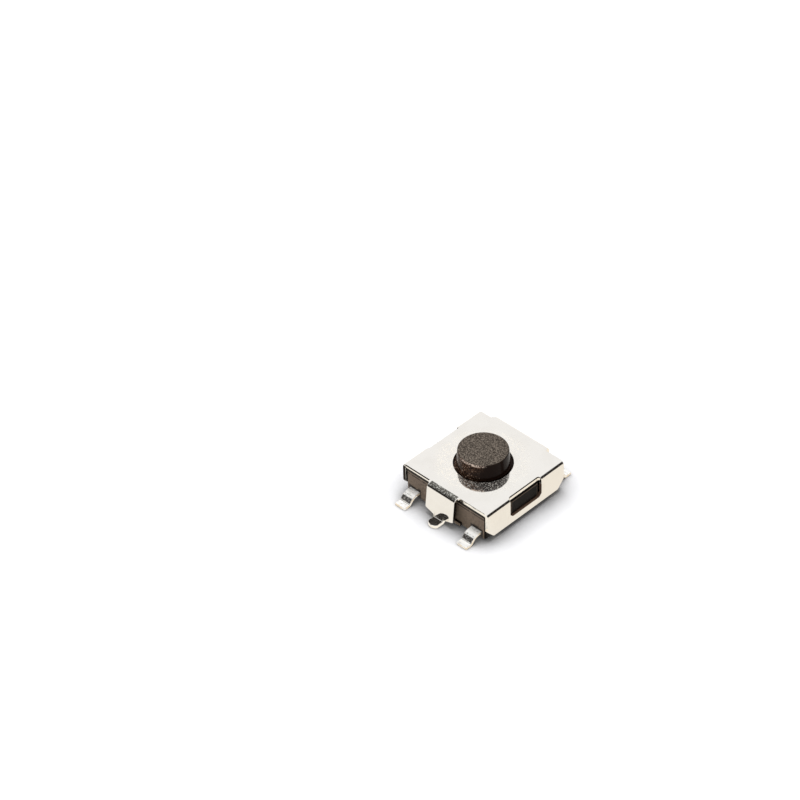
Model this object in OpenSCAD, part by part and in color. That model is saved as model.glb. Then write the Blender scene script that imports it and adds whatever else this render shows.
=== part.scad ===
// Surface-mount tactile push button switch with a folded sheet-metal cover,
// four gull-wing solder leads and a grounding foot.
// The origin is on the plunger's axis, in the plane of the circuit board.
// The windowed skirts face -X and +X, the leads and the ground foot face -Y and +Y.

/* [Overall size] */
// Width over the two windowed skirts
cover_width = 6.2; // [5.1:0.05:8]
// Length over the front tab and the rear flap, at their bends
cover_length = 6.6; // [5.4:0.02:8.4]
// Height of the cover's top face above the board
cover_height = 1.95; // [1.75:0.05:3]
// Height of the plunger's top above the cover's top face
plunger_rise = 0.93; // [0.5:0.01:5]

/* [Sheet metal cover] */
// Thickness of the cover's sheet
sheet = 0.2; // [0.12:0.01:0.3]
// Radius on the inside of each bend of the cover
bend_inside = 0.06; // [0.03:0.01:0.15]
// Distance from the bend line of the tab back to the plate's cut edge
edge_setback = 0.09; // [0.01:0.01:0.15]
// Gap between the skirts and the board
skirt_gap = 0.27; // [0.1:0.01:0.5]
// Length of the slanted corner cut of a skirt, along the skirt
skirt_corner_run = 0.46; // [0.1:0.02:0.8]
// Height of the slanted corner cut of a skirt
skirt_corner_rise = 0.5; // [0.1:0.02:0.8]
// Width of the window in each skirt
window_width = 2.4; // [1.6:0.05:3.2]
// Height of the strip of sheet left under the window
window_strip = 0.43; // [0.2:0.01:0.6]
// Corner radius of the window where it cuts into the plate
window_corner = 0.14; // [0.05:0.01:0.3]
// Slanted lower corners of the window
window_corner_cut = 0.16; // [0.05:0.01:0.3]
// Radius that blunts the stamped corners of the skirts, the tab and the flap
stamped_corner = 0.08; // [0.02:0.01:0.12]

/* [Tab, ground foot and rear flap] */
// Width of the front tab
tab_width = 2; // [1.2:0.02:2.4]
// Outward lean of the front tab, in degrees
tab_lean = 6; // [0:1:10]
// Height of the tab's two lower corners above the board
tab_corner_height = 0.46; // [0.34:0.01:0.7]
// Radius in the corners where the tab and the rear flap leave the plate
root_radius = 0.12; // [0.04:0.01:0.2]
// Width of the ground foot
foot_width = 0.66; // [0.4:0.02:1]
// Radius of the foot's rounded tip, as a multiple of half the foot's width
foot_tip_roundness = 1.25; // [1:0.05:1.6]
// Radius on the inside of the ground foot's bend
foot_bend_inside = 0.06; // [0.04:0.01:0.15]
// Width of the rear flap
rear_flap_width = 3.8; // [2:0.05:4.4]
// Sideways place of the rear flap
rear_flap_offset = -0.18; // [-0.2:0.02:0.2]
// Gap between the rear flap's lower edge and the leads' upper faces
rear_flap_gap = 0.16; // [0.1:0.01:0.4]
// Slanted lower corners of the rear flap
rear_flap_corner = 0.2; // [0.05:0.01:0.4]

/* [Leads and contacts] */
// How far the tips of the leads and of the ground foot stand out past the cover's bends
lead_reach = 0.78; // [0.7:0.01:1.5]
// Distance between the middles of neighbouring leads
lead_pitch = 4.5; // [3.6:0.05:4.8]
// Width of a lead
lead_width = 0.7; // [0.5:0.02:0.9]
// Thickness of the terminals' sheet
lead_sheet = 0.15; // [0.1:0.01:0.2]
// Step down from the exit of a lead to its foot
lead_drop = 0.38; // [0.3:0.01:0.5]
// Slope of the lead's middle, in degrees
lead_slope = 50; // [40:1:55]
// Radius on the inside of the lead's upper bend
lead_upper_bend = 0.5; // [0.3:0.01:0.6]
// Radius on the inside of the lead's lower bend, above the foot
lead_lower_bend = 0.15; // [0.08:0.01:0.2]
// Straight length of a lead where it leaves the housing
lead_shoulder = 0.18; // [0.1:0.01:0.25]
// Diameter of the raised contact under the dome's middle
contact_diameter = 0.9; // [0.5:0.05:1.2]
// Diameter of the raised contact's flat top
contact_top_diameter = 0.72; // [0.4:0.05:0.9]
// Width of the arm that carries the raised contact
arm_width = 0.56; // [0.3:0.02:0.8]
// Depth of plastic over the buried arm of the centre terminal
arm_cover = 0.08; // [0.05:0.01:0.12]
// Angle from the +X axis to each pad under the dome's rim, in degrees
pad_angle = 35; // [25:1:40]
// Length of a rim pad along X
pad_length = 0.5; // [0.3:0.05:0.6]

/* [Housing] */
// Gap between the housing and the board
housing_gap = 0.12; // [0.05:0.01:0.2]
// Clearance between the housing and the cover's skirts
housing_clearance = 0.03; // [0.01:0.01:0.08]
// Least wall between the round pocket and the housing's side
pocket_wall = 0.35; // [0.25:0.01:0.5]
// Radius of the housing's upright corners
housing_corner = 0.15; // [0.05:0.01:0.3]
// Slant along the housing's upper front and rear edges
housing_chamfer = 0.08; // [0.03:0.01:0.15]
// How far the snap boss stands out of the housing's side
boss_rise = 0.1; // [0.06:0.01:0.2]
// Run of the slanted faces at the snap boss's top and ends
boss_slant = 0.13; // [0.05:0.01:0.2]
// Run of the slant under the snap boss
boss_draft = 0.03; // [0.01:0.01:0.06]
// Clearance between the snap boss and the edges of the window
boss_clearance = 0.07; // [0.04:0.01:0.12]
// Height of the low pad behind the front tab
tab_rest_height = 0.2; // [0.1:0.02:0.4]
// How far the low pad runs past each side of the front tab
tab_rest_margin = 0.2; // [0.05:0.05:0.4]
// Diameter of the blind holes left by the pins of the mould
pin_hole_diameter = 0.5; // [0.3:0.05:0.6]
// Distance between the pin holes under one terminal
pin_hole_pitch = 2.92; // [2:0.02:4]

/* [Plunger, film and dome] */
// Diameter of the plunger where it passes through the cover
plunger_diameter = 3; // [2:0.05:3.6]
// How much narrower the plunger's top is than its base
plunger_taper = 0.28; // [0:0.02:0.4]
// Radius of the plunger's top edge
plunger_edge = 0.06; // [0.02:0.01:0.15]
// Clearance all round the plunger in the cover's hole
hole_clearance = 0.11; // [0.04:0.01:0.2]
// Travel of the plunger
travel = 0.25; // [0.15:0.01:0.3]
// Height of the dome contact, its own thickness included
dome_height = 0.38; // [0.34:0.01:0.45]
// Thickness of the dome contact
dome_sheet = 0.07; // [0.05:0.01:0.1]
// Thickness of the sealing film
film_sheet = 0.05; // [0.03:0.01:0.08]
// Width of the film's flat rim on its ledge
film_rim = 0.36; // [0.2:0.02:0.6]
// Play between parts that rest on each other inside
play = 0.02; // [0.01:0.01:0.04]
// Diameter of the plunger's inner boss, which presses the dome
plunger_boss_diameter = 1.8; // [1:0.05:2.4]
// Height of the plunger's inner boss below its flange
plunger_boss_height = 0.22; // [0.05:0.01:0.3]

/* [Hidden] */
$fn = 64;
far = 20; // longer than any cut through the part
bend_facets = 10; // flats along each bend of the sheet
corner_facets = 6; // flats along each blunted corner
cut = 0.05; // how far a cut runs past the face it opens

bend_outside = bend_inside + sheet;
plate_under = cover_height - sheet;
flat_half_x = cover_width / 2 - bend_outside;
flat_half_y = cover_length / 2 - bend_outside;
plate_length = 2 * (flat_half_y - edge_setback);
skirt_inner = cover_width / 2 - sheet;
window_sill = skirt_gap + window_strip;

lead_tip_y = cover_length / 2 + lead_reach;
lead_top = lead_drop + lead_sheet;
floor_z = lead_top + arm_cover;
housing_width = 2 * (skirt_inner - housing_clearance);
housing_length = plate_length - 2 * housing_clearance;
pocket_radius = min(housing_width, housing_length) / 2 - pocket_wall;
film_radius = pocket_radius - 2 * play;
dome_radius = film_radius - film_rim - 3 * play;
dome_pocket_radius = dome_radius + 2 * play;
ledge_z = floor_z + dome_sheet + play;

// The dome is a cap of a sphere that stands on the pocket's floor.
dome_ball = (pow(dome_radius, 2) + pow(dome_height, 2)) / (2 * dome_height);
dome_centre_z = floor_z + dome_height - dome_ball;
film_ball = dome_ball + play;
film_crown_z = dome_centre_z + film_ball + film_sheet;
// The travel ends when the dome's middle meets the raised contact.
contact_top_z = floor_z + dome_height - dome_sheet - travel - play;

plunger_bottom_z = film_crown_z + play / 2;
plunger_boss_radius = plunger_boss_diameter / 2;
flange_under_z = plunger_bottom_z + plunger_boss_height;
flange_top_z = plate_under - play;
flange_radius = pocket_radius - 4 * play;
plunger_top_z = cover_height + plunger_rise;
hole_radius = plunger_diameter / 2 + hole_clearance;

// ---- sheet metal strip: a list of [straight run, turn after it, radius inside the turn] ----

function direction(angle) = [cos(angle), sin(angle)];

function arc(centre, radius, from, sweep, facets = bend_facets) =
  [for (i = [0 : facets]) centre + radius * direction(from + sweep * i / facets)];

function reversed(points) = [for (i = [len(points) - 1 : -1 : 0]) points[i]];

// One edge of a folded strip, side = 0 for its lower edge and the sheet's thickness for its upper one.
// The strip comes from point p with heading h. A positive turn folds it up and a negative one down.
function strip_edge(steps, t, side, p, h, i = 0) =
  let (
    turn = steps[i][1],
    inside = steps[i][2],
    q = p + steps[i][0] * direction(h),
    up = turn > 0 ? 1 : -1,
    hub = up > 0 ? t + inside : inside,
    centre = q + up * hub * direction(h + 90),
    bend = arc(centre, abs(hub - up * side), h - up * 90, turn)
  )
  i == len(steps) - 1 ? [q + side * direction(h + 90)]
  : concat(bend, strip_edge(steps, t, side, centre + hub * direction(h + turn - up * 90), h + turn, i + 1));

// Side view of a folded strip that starts at a point with a heading
module folded_strip(steps, t, start = [0, 0], heading = 0) {
  polygon(concat(
    [start], strip_edge(steps, t, 0, start, heading),
    reversed(strip_edge(steps, t, t, start, heading)), [start + t * direction(heading + 90)]
  ));
}

// ---- outlines with blunted corners: a list of [x, y] or [x, y, radius of the corner] ----

function unit(v) = v / norm(v);

function flat(point) = [point[0], point[1]];

function short_way(angle) = angle > 180 ? angle - 360 : angle < -180 ? angle + 360 : angle;

function blunt_corner(point, before, after) =
  let (
    a = unit(flat(before) - flat(point)),
    b = unit(flat(after) - flat(point)),
    half = acos(a * b) / 2,
    to_centre = unit(a + b) * point[2] / sin(half),
    start = a * point[2] / tan(half) - to_centre,
    end = b * point[2] / tan(half) - to_centre,
    from = atan2(start[1], start[0]),
    sweep = short_way(atan2(end[1], end[0]) - from)
  )
  arc(flat(point) + to_centre, point[2], from, sweep, corner_facets);

function blunted(points) =
  let (n = len(points))
  [for (i = [0 : n - 1])
    let (p = points[i])
    each len(p) < 3 ? [p] : blunt_corner(p, points[(i + n - 1) % n], points[(i + 1) % n])];

function mirrored(points) = [for (p = reversed(points)) len(p) < 3 ? [-p[0], p[1]] : [-p[0], p[1], p[2]]];

// Outline that is the same on both sides, from the points of its right side in order
module both_sides(points) {
  polygon(blunted(concat(points, mirrored(points))));
}

// Right side of a flap's root seen from the front. The corner radius was stamped in the flat sheet,
// so it follows the sheet over the bend: s is the length along the sheet from the bend line.
function flap_root(half) =
  concat(
    [[half + root_radius, cover_height + cut]],
    [for (i = [0 : corner_facets])
      let (
        s = root_radius * (1 - cos(90 * i / corner_facets)),
        out = root_radius * (1 - sin(90 * i / corner_facets)),
        turned = s / bend_outside * 180 / PI
      )
      [half + out, cover_height - bend_outside * (1 - cos(turned))]
    ]
  );

// Stands a side view up so that its x runs towards -Y and its y towards +Z
module across_x(width) {
  rotate([90, 0, -90]) linear_extrude(width, center = true) children();
}

// Stands a side view up so that its x stays on X and its y runs towards +Z
module across_y(length) {
  rotate([90, 0, 0]) linear_extrude(length, center = true) children();
}

// Turns one side's shape into both: the rear is the front turned half round
module front_and_rear() {
  children();
  rotate([0, 0, 180]) children();
}

module rounded_rectangle(width, length, corner) {
  square([width - 2 * corner, length], center = true);
  square([width, length - 2 * corner], center = true);
  for (x = [-1, 1], y = [-1, 1])
    translate([x * (width / 2 - corner), y * (length / 2 - corner)]) circle(r = corner);
}

// ---- cover ----

module skirt_outline() {
  half = plate_length / 2;
  both_sides([
    [half, cover_height + cut],
    [half, skirt_gap + skirt_corner_rise, stamped_corner],
    [half - skirt_corner_run, skirt_gap, stamped_corner]
  ]);
}

// The plate and both skirts are one strip folded over the housing.
module cover_channel() {
  depth = cover_height - bend_outside - skirt_gap;
  intersection() {
    across_y(plate_length)
      folded_strip(
        [[depth, -90, bend_inside], [2 * flat_half_x, -90, bend_inside], [depth, 0, 0]],
        sheet, [-skirt_inner, skirt_gap], 90
      );
    rotate([90, 0, 90]) linear_extrude(far, center = true) skirt_outline();
  }
}

// The opening over a snap boss cuts through the skirt and the bend, up to the plate's edge.
module window_opening() {
  half = window_width / 2;
  rotate([90, 0, 90]) translate([0, 0, flat_half_x]) linear_extrude(far)
    both_sides([
      [half, plate_under - bend_inside],
      [half, window_sill + window_corner_cut, window_corner_cut / 2],
      [half - window_corner_cut, window_sill, window_corner_cut / 2]
    ]);
  translate([skirt_inner + far / 2, 0, plate_under - bend_inside])
    linear_extrude(far) rounded_rectangle(far, window_width, window_corner);
}

// Side view of the tab: over the edge, down with a lean, and out along the board as the ground foot
module tab_side_view() {
  turn = 90 - tab_lean;
  fall = plate_under - (bend_inside + foot_bend_inside + sheet) * (1 - cos(turn));
  run = fall / sin(turn);
  over = flat_half_y + (bend_inside + foot_bend_inside + sheet) * sin(turn) + run * cos(turn);
  start = flat_half_y - 2 * edge_setback - bend_outside;
  folded_strip(
    [[flat_half_y - start, -turn, bend_inside], [run, turn, foot_bend_inside], [lead_tip_y - over, 0, 0]],
    sheet, [start, plate_under]
  );
}

module tab_outline() {
  side = tab_width / 2;
  foot = foot_width / 2;
  neck = sheet + foot_bend_inside;
  both_sides(concat(
    flap_root(side),
    [[side, tab_corner_height, stamped_corner], [foot, neck, stamped_corner], [foot, -cut]]
  ));
}

module front_tab() {
  tip_radius = foot_tip_roundness * foot_width / 2;
  tip_half = asin(1 / foot_tip_roundness);
  neck_y = cover_length / 2 + plate_under * tan(tab_lean);
  intersection() {
    across_x(tab_width + 2 * root_radius) tab_side_view();
    across_y(far) tab_outline();
    translate([0, 0, -cut]) linear_extrude(far)
      polygon(concat(
        [[-far / 2, 0], [-far / 2, -neck_y], [-foot_width / 2, -neck_y]],
        arc([0, tip_radius - lead_tip_y], tip_radius, 270 - tip_half, 2 * tip_half, 2 * bend_facets),
        [[foot_width / 2, -neck_y], [far / 2, -neck_y], [far / 2, 0]]
      ));
  }
}

module rear_flap() {
  start = flat_half_y - 2 * edge_setback - bend_outside;
  half = rear_flap_width / 2;
  lower = lead_top + rear_flap_gap;
  translate([rear_flap_offset, 0, 0]) intersection() {
    rotate([0, 0, 180]) across_x(rear_flap_width + 2 * root_radius)
      folded_strip(
        [[flat_half_y - start, -90, bend_inside], [plate_under - bend_inside - lower, 0, 0]],
        sheet, [start, plate_under]
      );
    across_y(far) both_sides(concat(
      flap_root(half),
      [[half, lower + rear_flap_corner, stamped_corner], [half - rear_flap_corner, lower, stamped_corner]]
    ));
  }
}

module cover() {
  color("gainsboro")
    difference() {
      union() {
        cover_channel();
        front_tab();
        rear_flap();
      }
      front_and_rear() window_opening();
      translate([0, 0, plate_under - cut]) cylinder(r = hole_radius, h = sheet + 2 * cut);
    }
}

// ---- plunger, film and dome ----

module plunger() {
  base = plunger_diameter / 2;
  top = base - plunger_taper / 2;
  color("dimgray")
    rotate_extrude() {
      polygon([
        [0, plunger_bottom_z], [plunger_boss_radius, plunger_bottom_z],
        [plunger_boss_radius, flange_under_z], [flange_radius, flange_under_z],
        [flange_radius, flange_top_z], [base, flange_top_z], [base, cover_height],
        [top, plunger_top_z - plunger_edge], [top - plunger_edge, plunger_top_z], [0, plunger_top_z]
      ]);
      translate([top - plunger_edge, plunger_top_z - plunger_edge]) circle(r = plunger_edge);
    }
}

// Half of a thin cap of a sphere in side view, down to the height base_z
module cap_side_view(ball, t, centre_z, base_z) {
  intersection() {
    translate([0, centre_z])
      difference() {
        circle(r = ball + t);
        circle(r = ball);
      }
    translate([0, base_z]) square([far, far]);
  }
}

module seal_film() {
  rim_start = sqrt(pow(film_ball, 2) - pow(ledge_z - dome_centre_z, 2));
  color("goldenrod")
    rotate_extrude() {
      cap_side_view(film_ball, film_sheet, dome_centre_z, ledge_z);
      translate([rim_start, ledge_z]) square([film_radius - rim_start, film_sheet]);
    }
}

module dome_contact() {
  color("silver")
    rotate_extrude() cap_side_view(dome_ball - dome_sheet, dome_sheet, dome_centre_z, floor_z);
}

// ---- terminals ----

// Side view of a strip that runs through the housing and ends in a gull-wing lead on each side
module lead_side_view() {
  bends = lead_upper_bend + lead_lower_bend + lead_sheet;
  slope_run = (lead_drop - bends * (1 - cos(lead_slope))) / sin(lead_slope);
  shoulder_end = housing_length / 2 + lead_shoulder;
  foot_run = lead_tip_y - shoulder_end - bends * sin(lead_slope) - slope_run * cos(lead_slope);
  folded_strip([
    [foot_run, lead_slope, lead_lower_bend],
    [slope_run, -lead_slope, lead_upper_bend],
    [2 * shoulder_end, -lead_slope, lead_upper_bend],
    [slope_run, lead_slope, lead_lower_bend],
    [foot_run, 0, 0]
  ], lead_sheet, [-lead_tip_y, 0]);
}

module lead_strip() {
  across_x(lead_width) lead_side_view();
}

// The arm and button that bring the centre terminal under the dome's middle
module centre_arm() {
  translate([-lead_pitch / 2, -arm_width / 2, lead_drop]) cube([lead_pitch / 2, arm_width, lead_sheet]);
  translate([0, 0, lead_drop]) cylinder(d = contact_diameter, h = lead_sheet);
  translate([0, 0, lead_drop]) cylinder(d = contact_top_diameter, h = contact_top_z - lead_drop);
}

// Two pads that lie flush with the pocket's floor under the dome's rim
module rim_pads() {
  inner = dome_radius * cos(pad_angle) - pad_length / 2;
  for (side = [-1, 1])
    translate([inner, side * dome_radius * sin(pad_angle) - arm_width / 2, lead_drop]) {
      cube([lead_pitch / 2 - inner, arm_width, lead_sheet]);
      cube([pad_length, arm_width, lead_sheet + arm_cover]);
    }
}

module centre_terminal() {
  color("lightgray") {
    translate([-lead_pitch / 2, 0, 0]) lead_strip();
    centre_arm();
  }
}

module rim_terminal() {
  color("lightgray") {
    translate([lead_pitch / 2, 0, 0]) lead_strip();
    rim_pads();
  }
}

// ---- housing ----

// A boss on the housing's side that holds the cover down by the window's lower edge
module snap_boss() {
  side = housing_width / 2;
  root = side - pocket_wall / 2;
  face = side + boss_rise;
  low = window_sill + boss_clearance;
  high = plate_under - boss_clearance;
  half = window_width / 2 - boss_clearance;
  intersection() {
    across_y(far)
      polygon([
        [root, low - boss_draft], [side, low - boss_draft], [face, low],
        [face, high - boss_slant], [side, high], [root, high]
      ]);
    linear_extrude(far)
      polygon([
        [root, -half], [side, -half], [face, boss_slant - half],
        [face, half - boss_slant], [side, half], [root, half]
      ]);
    rotate([90, 0, 90]) linear_extrude(far)
      both_sides([
        [half, high],
        [half, low - boss_draft + window_corner_cut],
        [half - window_corner_cut, low - boss_draft]
      ]);
  }
}

// A low pad that backs the tab near the board
module tab_rest() {
  reach = cover_length / 2 - sheet - housing_clearance;
  width = tab_width + 2 * tab_rest_margin;
  translate([-width / 2, -reach, housing_gap])
    cube([width, reach - housing_length / 2 + cut, tab_rest_height]);
}

// Blind holes left by the pins that held the terminals in the mould
module mould_pin_holes() {
  for (x = [-1, 1], y = [-1, 1])
    translate([x * lead_pitch / 2, y * pin_hole_pitch / 2, housing_gap - cut])
      cylinder(d = pin_hole_diameter, h = lead_drop - housing_gap + cut);
}

// Side view of a block whose two upper edges are slanted off
module slanted_block(length, slant) {
  half = length / 2 + cut;
  both_sides([[half, 0], [half, plate_under - slant - cut], [half - slant - cut, plate_under]]);
}

// The upper edges along the skirts are slanted enough to clear the inside of the cover's bends.
module housing_block() {
  intersection() {
    translate([0, 0, housing_gap]) linear_extrude(far)
      rounded_rectangle(housing_width, housing_length, housing_corner);
    across_x(housing_width + cut) slanted_block(housing_length, housing_chamfer);
    across_y(housing_length + cut) slanted_block(housing_width, bend_inside);
  }
}

module housing() {
  color([0.2, 0.18, 0.16])
    difference() {
      union() {
        housing_block();
        front_and_rear() snap_boss();
        tab_rest();
      }
      translate([0, 0, ledge_z]) cylinder(r = pocket_radius, h = far);
      translate([0, 0, floor_z]) cylinder(r = dome_pocket_radius, h = far);
      mould_pin_holes();
      centre_terminal();
      rim_terminal();
    }
}

cover();
plunger();
seal_film();
dome_contact();
housing();
centre_terminal();
rim_terminal();
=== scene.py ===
"""Surface-mount push button switch: finished pieces, plated and moulded finishes, and a small pale stage."""
import math

import bmesh
import bpy
from bpy.props import FloatProperty, FloatVectorProperty, IntProperty, PointerProperty
from mathutils import Matrix, Vector


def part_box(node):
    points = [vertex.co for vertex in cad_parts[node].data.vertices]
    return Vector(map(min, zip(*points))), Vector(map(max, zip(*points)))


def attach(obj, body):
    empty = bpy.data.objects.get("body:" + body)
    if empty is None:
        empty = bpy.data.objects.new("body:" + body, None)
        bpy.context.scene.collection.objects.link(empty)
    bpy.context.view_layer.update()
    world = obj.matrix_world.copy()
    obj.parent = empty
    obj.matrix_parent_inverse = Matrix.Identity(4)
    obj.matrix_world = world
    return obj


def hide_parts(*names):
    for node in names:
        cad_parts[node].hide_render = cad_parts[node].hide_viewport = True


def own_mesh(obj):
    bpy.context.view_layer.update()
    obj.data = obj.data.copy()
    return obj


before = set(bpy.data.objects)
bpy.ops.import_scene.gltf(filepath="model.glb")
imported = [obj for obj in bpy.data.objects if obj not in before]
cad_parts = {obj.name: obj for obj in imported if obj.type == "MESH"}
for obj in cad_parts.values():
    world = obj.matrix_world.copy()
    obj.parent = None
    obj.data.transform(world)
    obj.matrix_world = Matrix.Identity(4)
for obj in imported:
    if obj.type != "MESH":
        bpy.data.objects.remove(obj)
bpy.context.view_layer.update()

bl_info = {
    "name": "Push Button Switch",
    "version": (1, 0, 0),
    "blender": (4, 5, 0),
    "location": "3D View > Sidebar > Switch",
    "description": "Builds the cover, plunger, housing, terminals, dome and film of a surface-mount push button",
    "category": "Object",
}

MM = 0.001
BLACK = (0.0, 0.0, 0.0, 1.0)
WHITE = (1.0, 1.0, 1.0, 1.0)
DULL_SPECK = (0.96, 0.90, 0.80, 1.0)
PIT = (0.30, 0.26, 0.22, 1.0)

# Directions across the plunger in which it is worn and lit, so that its side there carries painted sheen as well as
# wear, and in which its rim is nicked.
WORN_AND_LIT_SIDE = (-0.725, -0.689)
NICKED_SIDE = (0.27, -0.96)
# The side of the room that lights matte surfaces most.
WINDOW_SIDE = (-0.6, -0.8)

# In millimetres: points closer than this are merged, and points closer in height than this are level.
MERGE = 0.0005
LEVEL = 0.001


def in_millimetres(corners):
    """The low and the high corner of a box, in millimetres."""
    return [Vector(corner) / MM for corner in corners]


# ---------------------------------------------------------------- settings


def length(name, description, default):
    return FloatProperty(
        name=name, description=description, default=default, min=0.0, subtype="DISTANCE", unit="LENGTH", precision=6
    )


def colour(name, description, default):
    return FloatVectorProperty(
        name=name, description=description, default=(*default, 1.0), size=4, min=0.0, max=1.0, subtype="COLOR"
    )


def share(name, description, default, most=1.0):
    return FloatProperty(name=name, description=description, default=default, min=0.0, max=most, subtype="FACTOR")


class CoverSettings(bpy.types.PropertyGroup):
    sheet: length("Sheet", "Thickness of the folded sheet", 0.0002)
    bend_inside: length("Bend radius", "Radius on the inside of the sheet's bends", 0.00006)
    edge_radius: length("Edge radius", "How far the stamped edges are rounded", 0.000018)
    steel: colour("Plated steel", "Colour of the plated faces", (0.885, 0.86, 0.82))
    steel_shade: colour("Plated steel, shaded", "Colour of the cloudier patches in the plating", (0.825, 0.795, 0.75))
    shear_bright: colour("Burnished edge", "Colour of the smooth part of a cut edge", (0.93, 0.89, 0.82))
    # Also the colour of the painted dark reflection along the top of the cut edges and of the painted shadow beside
    # the tab.
    dark_edge_and_painted_shade: colour("Dark edge and painted shade", "Colour of the torn part of a cut edge", (0.02, 0.014, 0.01))
    # Brownish colour given to the rims of the side windows, which are made mostly matte.
    rim: colour("Window rim", "Colour of the bare steel on the rim of the side windows", (0.16, 0.10, 0.07))
    wrinkle: colour("Wrinkles", "Colour of the stretched plating on the tab's bend", (0.80, 0.80, 0.74))
    # Painted shade and painted dark reflection in the creases of the tab's bend.
    crease_shade: colour("Creases", "Colour of the creases on the tab's bend", (0.05, 0.045, 0.035))
    tab: length("Tab", "Width of the front tab", 0.002)
    roughness: share("Roughness", "Roughness of the plated faces", 0.06)


class PlungerSettings(bpy.types.PropertyGroup):
    facets: IntProperty(name="Facets", description="Flats round the plunger", default=160, min=24, max=360)
    rim_radius: length("Rim radius", "Radius of the rim round the top", 0.00006)
    taper: length("Taper", "How much narrower the top is than the neck", 0.00024)
    neck: length("Neck", "Diameter where the plunger passes through the cover", 0.003)
    flange_drop: length("Flange drop", "Depth of the flange below the cover's top face", 0.00022)
    shoulder: length("Shoulder", "Width of the narrow step where the button leaves its neck", 0.00005)
    boss: length("Boss", "Diameter of the boss that presses the dome", 0.0018)
    boss_height: length("Boss height", "Height of the boss below the flange", 0.00022)
    inner_edges: length("Inner edges", "How far the edges of the flange and the boss are rounded", 0.00003)
    side: colour("Side", "Colour of the polished side", (0.013, 0.0065, 0.0045))
    top: colour("Top", "Colour of the textured top", (0.075, 0.062, 0.05))
    fleck: colour("Flecks", "Colour of the light flecks in the texture", (0.24, 0.20, 0.165))
    # Scuffs: also painted sheen on the lit front-left side of the plunger.
    scuff_and_sheen: colour("Scuffs", "Colour of the scuffed patch under the rim", (0.16, 0.085, 0.05))
    # Rubbed rim: also painted sheen on the lit front-left side of the plunger.
    rub_and_sheen: colour("Rubbed rim", "Colour where the rim is rubbed", (0.75, 0.60, 0.50))


class HousingSettings(bpy.types.PropertyGroup):
    edge_radius: length("Edge radius", "How far the moulded edges are rounded", 0.00003)
    # Also the colour of the painted highlights on the snap bosses' edges.
    plastic: colour("Plastic", "Colour of the textured front and rear faces", (0.165, 0.122, 0.088))
    # Also the colour of the painted shade on the textured ends, under the cover and round the leads.
    smooth: colour("Smooth plastic", "Colour of the polished faces under the skirts", (0.004, 0.0028, 0.0022))
    # Also the colour of the painted highlight line under the cover.
    fleck: colour("Fibres", "Colour of the filler that shows at the surface", (0.27, 0.2, 0.14))


class TerminalSettings(bpy.types.PropertyGroup):
    edge_radius: length("Edge radius", "How far the stamped edges are rounded", 0.000015)
    sheet: length("Sheet", "Thickness of the terminals' sheet", 0.00015)
    exit_height: length("Exit height", "Height of a lead's upper face where it leaves the housing", 0.00053)
    tin: colour("Tin", "Colour of the plating", (0.97, 0.965, 0.94))
    tin_shade: colour("Tin, shaded", "Colour of the marks left by forming", (0.16, 0.15, 0.12))
    copper: colour("Bare alloy", "Colour of the copper alloy on cut ends", (0.93, 0.82, 0.66))


class ContactSettings(bpy.types.PropertyGroup):
    dome_sheet: length("Dome sheet", "Thickness of the dome contact", 0.00007)
    film_sheet: length("Film", "Thickness of the sealing film", 0.00005)
    film_play: length("Film play", "Gap between the dome and the film", 0.00002)
    dimple: length("Dimple", "Depth of the dimple in the middle of the dome", 0.00004)
    dimple_radius: length("Dimple radius", "How far from the middle the dimple fades", 0.00032)
    spring_steel: colour("Spring steel", "Colour of the dome", (0.72, 0.71, 0.69))
    film: colour("Film colour", "Colour of the sealing film", (0.62, 0.30, 0.045))
    film_fleck: colour("Film, paler", "Colour of the paler patches of the film", (0.78, 0.46, 0.12))


class StageSettings(bpy.types.PropertyGroup):
    azimuth: FloatProperty(
        name="Azimuth", description="Camera's angle round the switch", default=math.radians(43.548), subtype="ANGLE"
    )
    elevation: FloatProperty(
        name="Elevation", description="Camera's angle above the table", default=math.radians(41.874), subtype="ANGLE"
    )
    roll: FloatProperty(
        name="Roll", description="Camera's turn about its own axis", default=math.radians(-0.401), subtype="ANGLE"
    )
    distance: length("Distance", "Distance from the camera to the switch", 0.1648)
    lens: FloatProperty(name="Lens", description="Focal length on a 36 mm sensor", default=138.73, min=10.0, max=400.0)
    shift: FloatVectorProperty(name="Shift", description="Camera's shift", default=(-0.10445, 0.11186), size=2)
    table: colour("Table", "Colour of the table", (0.95, 0.95, 0.97))
    contact: length("Contact shadow", "How far from the switch the table is still shaded by it", 0.0018)
    table_glow: share("Table brightness", "Light added to the table as the camera sees it", 0.04)
    reflection_left: colour("Reflected table, left", "Table colour reflected on the left", (1.0, 0.97, 0.91))
    reflection_right: colour("Reflected table, right", "Table colour reflected on the right", (0.98, 0.92, 0.82))
    room: colour("Room", "Bright part of the room that metal reflects", (1.0, 1.0, 1.0))
    room_dark: colour("Dark walls", "Two dark panels of the room that metal reflects", (0.012, 0.009, 0.007))
    ambient: share("Ambient", "Light from the window side of the room on matte surfaces", 0.6, 4.0)
    ambient_far: share("Ambient, far side", "Light from the other side of the room on matte surfaces", 0.25, 4.0)
    lamp_power: FloatProperty(
        name="Lamp power", description="Power of the overhead softbox", default=6.8, min=0.0, unit="POWER"
    )
    lamp_size: length("Lamp size", "Diameter of the softbox", 0.6)
    lamp_distance: length("Lamp distance", "Distance from the softbox to the switch", 0.9)
    lamp_direction: FloatVectorProperty(
        name="Lamp direction", description="Direction from the switch to the softbox", default=(-0.1, 0.15, 1.0),
        size=3, subtype="DIRECTION"
    )
    table_size: length("Table size", "Length of the table's sides", 1.2)


class SwitchSettings(bpy.types.PropertyGroup):
    cover: PointerProperty(type=CoverSettings)
    plunger: PointerProperty(type=PlungerSettings)
    housing: PointerProperty(type=HousingSettings)
    terminals: PointerProperty(type=TerminalSettings)
    contacts: PointerProperty(type=ContactSettings)
    stage: PointerProperty(type=StageSettings)


# ---------------------------------------------------------------- nodes


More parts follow.
